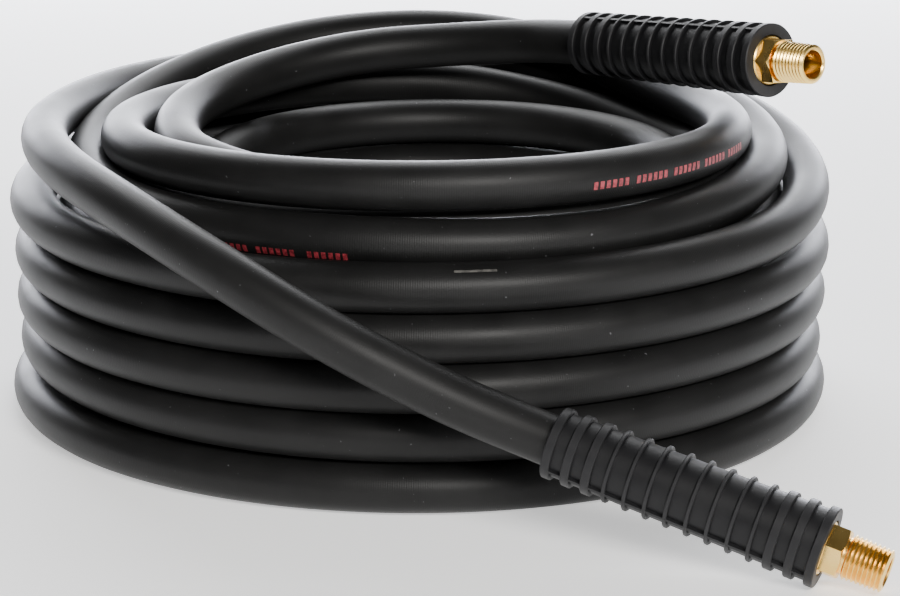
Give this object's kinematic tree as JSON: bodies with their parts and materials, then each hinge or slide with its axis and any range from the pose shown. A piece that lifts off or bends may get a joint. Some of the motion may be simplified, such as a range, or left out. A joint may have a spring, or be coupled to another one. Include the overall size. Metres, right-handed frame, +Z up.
{
  "type": "coiled air hose",
  "caption": "Black rubber air hose coiled in a round bundle, with brass male pipe fittings and ribbed bend restrictors on its ends.",
  "frame": {"origin": "middle of the whole object's footprint, on the surface that the bundle lies on", "axes": "+Z up, parallel to the bundle's axis; -Y points to the side where the lower end lies; +X is the side that both fittings point to"},
  "size_m": [0.284, 0.3566, 0.1379],
  "materials": {
    "hose_rubber": "charcoal-black rubber with a soft sheen and a fine cross-wise wrap texture",
    "restrictor_rubber": "matte black moulded rubber",
    "liner_rubber": "smooth black inner tube",
    "braid_yarn": "off-white reinforcing yarn",
    "brass": "bright machined brass"
  },
  "bodies": {
    "hose": {"hose_coil": "hose_rubber", "upper_hose_run": "hose_rubber", "upper_hose_cover": "hose_rubber", "upper_hose_braid": "braid_yarn", "upper_hose_liner": "liner_rubber", "upper_ferrule": "brass", "upper_pipe_fitting": "brass", "lower_hose_run": "hose_rubber", "lower_hose_cover": "hose_rubber", "lower_hose_braid": "braid_yarn", "lower_hose_liner": "liner_rubber", "lower_ferrule": "brass", "lower_pipe_fitting": "brass"},
    "upper_restrictor": {"upper_bend_restrictor": "restrictor_rubber"},
    "lower_restrictor": {"lower_bend_restrictor": "restrictor_rubber"}
  },
  "joints": [
    {"name": "upper_restrictor_slide", "type": "slide", "parent": "hose", "child": "upper_restrictor", "axis": [-0.6599, 0.7485, -0.0663], "range_m": [0, 0.012]},
    {"name": "lower_restrictor_slide", "type": "slide", "parent": "hose", "child": "lower_restrictor", "axis": [-0.8993, 0.3488, 0.2639], "range_m": [0, 0.012]}
  ]
}
